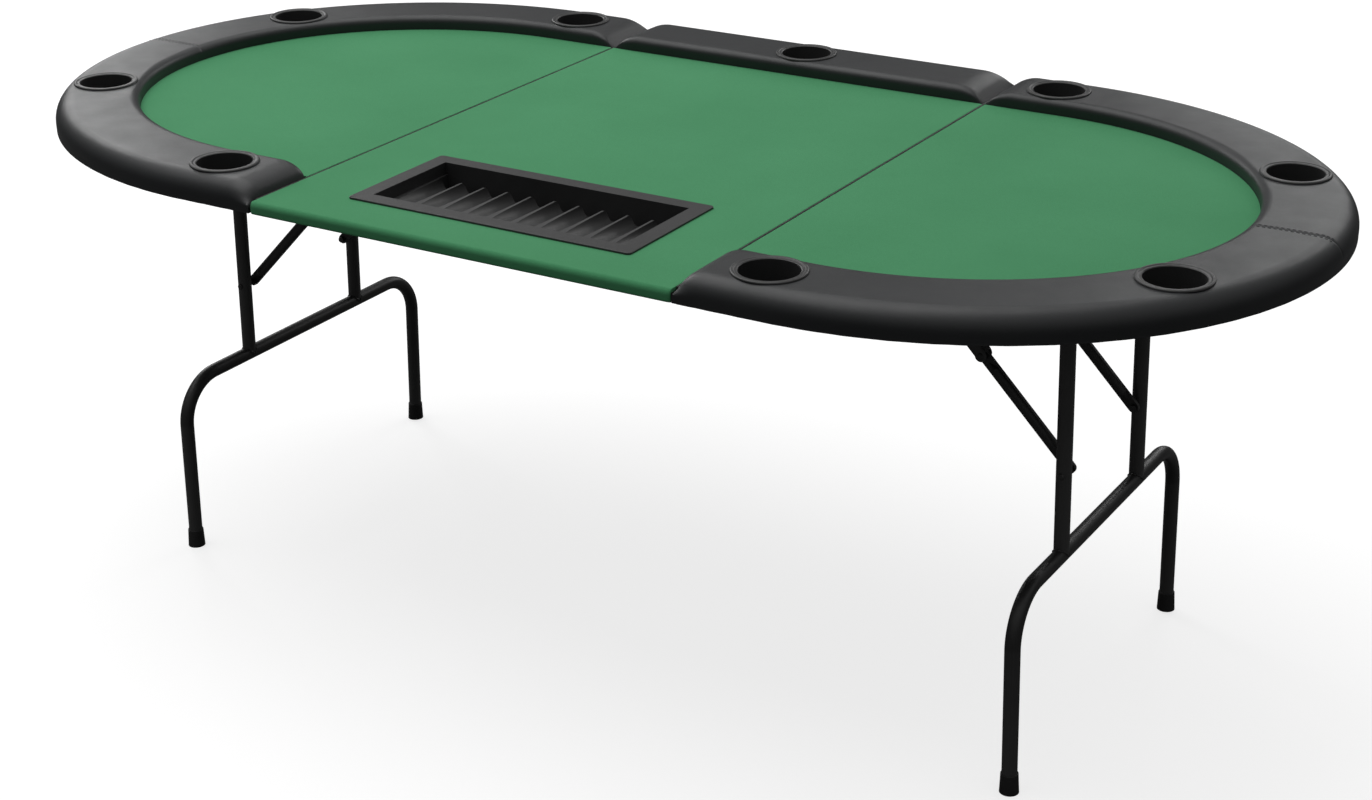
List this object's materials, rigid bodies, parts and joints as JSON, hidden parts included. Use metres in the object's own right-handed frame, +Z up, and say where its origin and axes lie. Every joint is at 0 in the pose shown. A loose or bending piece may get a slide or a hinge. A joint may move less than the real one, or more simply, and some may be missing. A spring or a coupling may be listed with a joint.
{
  "type": "folding poker table",
  "caption": "Oval folding poker table: three hinged felt panels with a padded rail, cup holders, a sunk chip tray and braced folding tube legs.",
  "frame": {"origin": "on the floor below the middle of the top", "axes": "+X along the table, +Y from the dealer's edge to the back rail, +Z up"},
  "size_m": [2.0598, 1.06, 0.76],
  "materials": {
    "felt": "short-napped green felt",
    "rail_cover": "fine-grained black artificial leather over foam, satin",
    "plywood": "unfinished plywood",
    "mdf": "fibreboard sealed black, matte",
    "moulded_plastic": "fine-textured black moulding, satin",
    "hinge_steel": "blackened rolled steel",
    "bare_steel": "drawn wire",
    "zinc_steel": "bright zinc plate",
    "black_tube": "black powder coat, satin",
    "black_fastener": "black paint, semi-gloss",
    "foot_rubber": "moulded rubber, matte"
  },
  "bodies": {
    "center_panel": {"center_board": "mdf", "center_felt_pad": "felt", "center_rail_core": "plywood", "center_rail_pad": "rail_cover", "center_cup_holder": "moulded_plastic", "chip_tray": "moulded_plastic", "right_hinge_fixed_leaf": "hinge_steel", "left_hinge_fixed_leaf": "hinge_steel", "right_hinge_pin": "bare_steel", "left_hinge_pin": "bare_steel", "center_bolt_keepers": "zinc_steel", "center_screws": "zinc_steel"},
    "right_leaf": {"right_board": "mdf", "right_felt_pad": "felt", "right_rail_core": "plywood", "right_rail_pad": "rail_cover", "right_cup_holder_front": "moulded_plastic", "right_cup_holder_end_front": "moulded_plastic", "right_cup_holder_end_rear": "moulded_plastic", "right_cup_holder_rear": "moulded_plastic", "right_hinge_swing_leaf": "hinge_steel", "right_leg_brackets": "black_tube", "right_brace_brackets": "black_tube", "right_pivot_rivets": "black_fastener", "right_bolt_guides": "zinc_steel", "right_screws": "zinc_steel"},
    "right_leg": {"right_leg_u_tube": "black_tube", "right_leg_upright_front": "black_tube", "right_leg_upright_rear": "black_tube", "right_leg_feet": "foot_rubber", "right_leg_stub_pins": "black_fastener"},
    "right_brace_upper": {"right_brace_upper_links": "black_tube", "right_brace_elbow_rivets": "black_fastener"},
    "right_brace_lower": {"right_brace_lower_links": "black_tube"},
    "right_bolt_front": {"right_slide_bolt_front": "zinc_steel"},
    "right_bolt_rear": {"right_slide_bolt_rear": "zinc_steel"},
    "left_leaf": {"left_board": "mdf", "left_felt_pad": "felt", "left_rail_core": "plywood", "left_rail_pad": "rail_cover", "left_cup_holder_front": "moulded_plastic", "left_cup_holder_end_front": "moulded_plastic", "left_cup_holder_end_rear": "moulded_plastic", "left_cup_holder_rear": "moulded_plastic", "left_hinge_swing_leaf": "hinge_steel", "left_leg_brackets": "black_tube", "left_brace_brackets": "black_tube", "left_pivot_rivets": "black_fastener", "left_bolt_guides": "zinc_steel", "left_screws": "zinc_steel"},
    "left_leg": {"left_leg_u_tube": "black_tube", "left_leg_upright_front": "black_tube", "left_leg_upright_rear": "black_tube", "left_leg_feet": "foot_rubber", "left_leg_stub_pins": "black_fastener"},
    "left_brace_upper": {"left_brace_upper_links": "black_tube", "left_brace_elbow_rivets": "black_fastener"},
    "left_brace_lower": {"left_brace_lower_links": "black_tube"},
    "left_bolt_front": {"left_slide_bolt_front": "zinc_steel"},
    "left_bolt_rear": {"left_slide_bolt_rear": "zinc_steel"}
  },
  "joints": [
    {"name": "right_leaf_fold", "type": "hinge", "parent": "center_panel", "child": "right_leaf", "pos_m": [0.343, 0, 0.7332], "axis": [0, -1, 0], "range_deg": [0, 90]},
    {"name": "right_leg_fold", "type": "hinge", "parent": "right_leaf", "child": "right_leg", "pos_m": [0.717, 0, 0.672], "axis": [0, 1, 0], "range_deg": [0, 91.5]},
    {"name": "right_brace_swing", "type": "hinge", "parent": "right_leaf", "child": "right_brace_upper", "pos_m": [0.444, 0, 0.7], "axis": [0, -1, 0], "range_deg": [0, 41.7]},
    {"name": "right_brace_elbow", "type": "hinge", "parent": "right_brace_upper", "child": "right_brace_lower", "pos_m": [0.58855, 0, 0.55134], "axis": [0, 1, 0], "range_deg": [0, 172.1]},
    {"name": "right_bolt_front_slide", "type": "slide", "parent": "right_leaf", "child": "right_bolt_front", "axis": [-1, 0, 0], "range_m": [0, 0.032]},
    {"name": "right_bolt_rear_slide", "type": "slide", "parent": "right_leaf", "child": "right_bolt_rear", "axis": [-1, 0, 0], "range_m": [0, 0.032]},
    {"name": "left_leaf_fold", "type": "hinge", "parent": "center_panel", "child": "left_leaf", "pos_m": [-0.343, 0, 0.7332], "axis": [0, 1, 0], "range_deg": [0, 90]},
    {"name": "left_leg_fold", "type": "hinge", "parent": "left_leaf", "child": "left_leg", "pos_m": [-0.717, 0, 0.672], "axis": [0, -1, 0], "range_deg": [0, 91.5]},
    {"name": "left_brace_swing", "type": "hinge", "parent": "left_leaf", "child": "left_brace_upper", "pos_m": [-0.444, 0, 0.7], "axis": [0, 1, 0], "range_deg": [0, 41.7]},
    {"name": "left_brace_elbow", "type": "hinge", "parent": "left_brace_upper", "child": "left_brace_lower", "pos_m": [-0.58855, 0, 0.55134], "axis": [0, -1, 0], "range_deg": [0, 172.1]},
    {"name": "left_bolt_front_slide", "type": "slide", "parent": "left_leaf", "child": "left_bolt_front", "axis": [1, 0, 0], "range_m": [0, 0.032]},
    {"name": "left_bolt_rear_slide", "type": "slide", "parent": "left_leaf", "child": "left_bolt_rear", "axis": [1, 0, 0], "range_m": [0, 0.032]}
  ],
  "couplings": [
    {"joint": "right_brace_swing", "follows": "right_leg_fold", "ratio": 0.4548},
    {"joint": "right_brace_elbow", "follows": "right_leg_fold", "ratio": 1.8795},
    {"joint": "left_brace_swing", "follows": "left_leg_fold", "ratio": 0.4548},
    {"joint": "left_brace_elbow", "follows": "left_leg_fold", "ratio": 1.8795}
  ]
}
